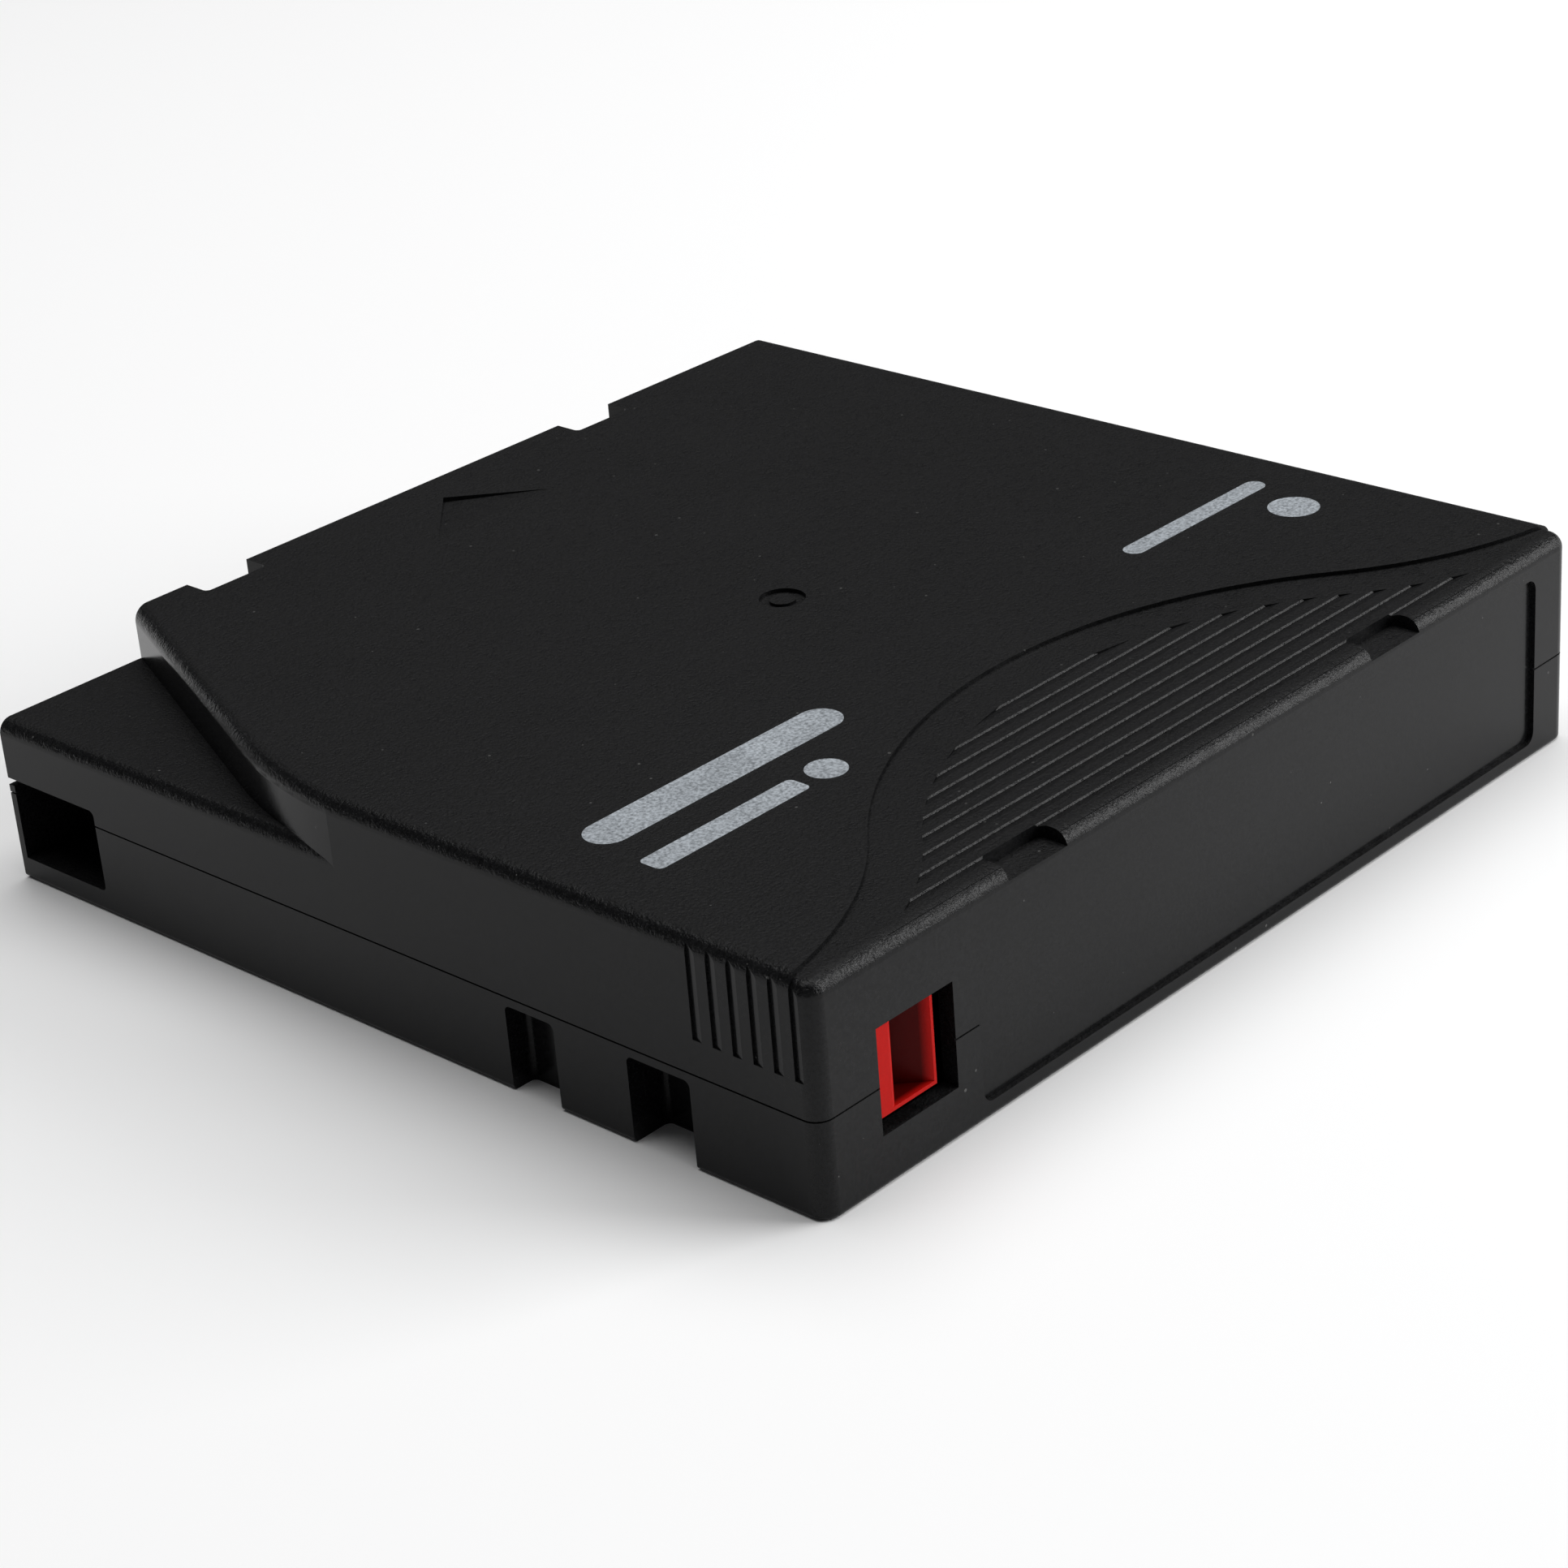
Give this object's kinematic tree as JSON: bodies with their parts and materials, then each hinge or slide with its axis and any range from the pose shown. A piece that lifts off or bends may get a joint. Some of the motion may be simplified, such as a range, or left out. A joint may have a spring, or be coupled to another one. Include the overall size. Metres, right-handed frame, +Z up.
{
  "type": "data tape cartridge",
  "caption": "Flat square tape cartridge with a stepped corner, a ribbed grip area, a sliding side door, a red write-protect slider and a toothed reel under its bottom opening.",
  "frame": {"origin": "centre of the case in plan, on the bottom face, on the reel's axis", "axes": "+X along the label face, +Y to the insertion face with the stepped corner, +Z up through the top"},
  "size_m": [0.1054, 0.102, 0.0215],
  "materials": {
    "case_plastic": "fine grained dark grey moulded plastic",
    "door_plastic": "smooth dark grey moulded plastic",
    "screw_steel": "black oxide steel",
    "spring_steel": "drawn spring steel",
    "red_plastic": "glossy red moulded plastic",
    "polished_steel": "polished hardened steel",
    "clip_plastic": "natural acetal",
    "tape_film": "coated polyester film",
    "reel_plastic": "light grey glass-filled plastic",
    "pad_plastic": "natural acetal",
    "brake_plastic": "natural acetal",
    "board_laminate": "green circuit board",
    "aerial_copper": "bare copper",
    "chip_resin": "black moulding resin",
    "flange_plastic": "light grey moulded plastic",
    "plate_steel": "stamped magnetic steel",
    "tape_edge": "edge of the wound tape"
  },
  "bodies": {
    "case": {"lower_case": "case_plastic", "upper_case": "case_plastic", "case_screws": "screw_steel", "door_spring": "spring_steel", "leader_pin": "polished_steel", "pin_clip": "clip_plastic", "pin_spring_lower": "spring_steel", "pin_spring_upper": "spring_steel", "leader_tape": "tape_film", "brake_spring": "spring_steel", "memory_board": "board_laminate", "memory_aerial": "aerial_copper", "memory_chip": "chip_resin"},
    "sliding_door": {"door": "door_plastic"},
    "write_protect": {"write_protect_tab": "red_plastic"},
    "reel": {"reel_hub": "reel_plastic", "reel_upper_flange": "flange_plastic", "reel_plate": "plate_steel", "tape_pack": "tape_edge"},
    "brake": {"brake_button": "brake_plastic"},
    "pad": {"release_pad": "pad_plastic"}
  },
  "joints": [
    {"name": "door_slide", "type": "slide", "parent": "case", "child": "sliding_door", "axis": [0, -1, 0], "range_m": [0, 0.014], "stiffness_N_per_m": 20, "springref_m": -0.012, "deforming": ["door_spring"]},
    {"name": "tab_slide", "type": "slide", "parent": "case", "child": "write_protect", "axis": [1, 0, 0], "range_m": [0, 0.0023]},
    {"name": "reel_spin", "type": "hinge", "parent": "case", "child": "reel", "pos_m": [0, 0, 0], "axis": [0, 0, 1], "continuous": true},
    {"name": "brake_lift", "type": "slide", "parent": "case", "child": "brake", "axis": [0, 0, 1], "range_m": [0, 0.002], "stiffness_N_per_m": 400, "springref_m": -0.0075, "deforming": ["brake_spring"]},
    {"name": "pad_lift", "type": "slide", "parent": "reel", "child": "pad", "axis": [0, 0, 1], "range_m": [0, 0.002]}
  ],
  "couplings": [
    {"joint": "pad_lift", "follows": "brake_lift", "ratio": 1}
  ]
}
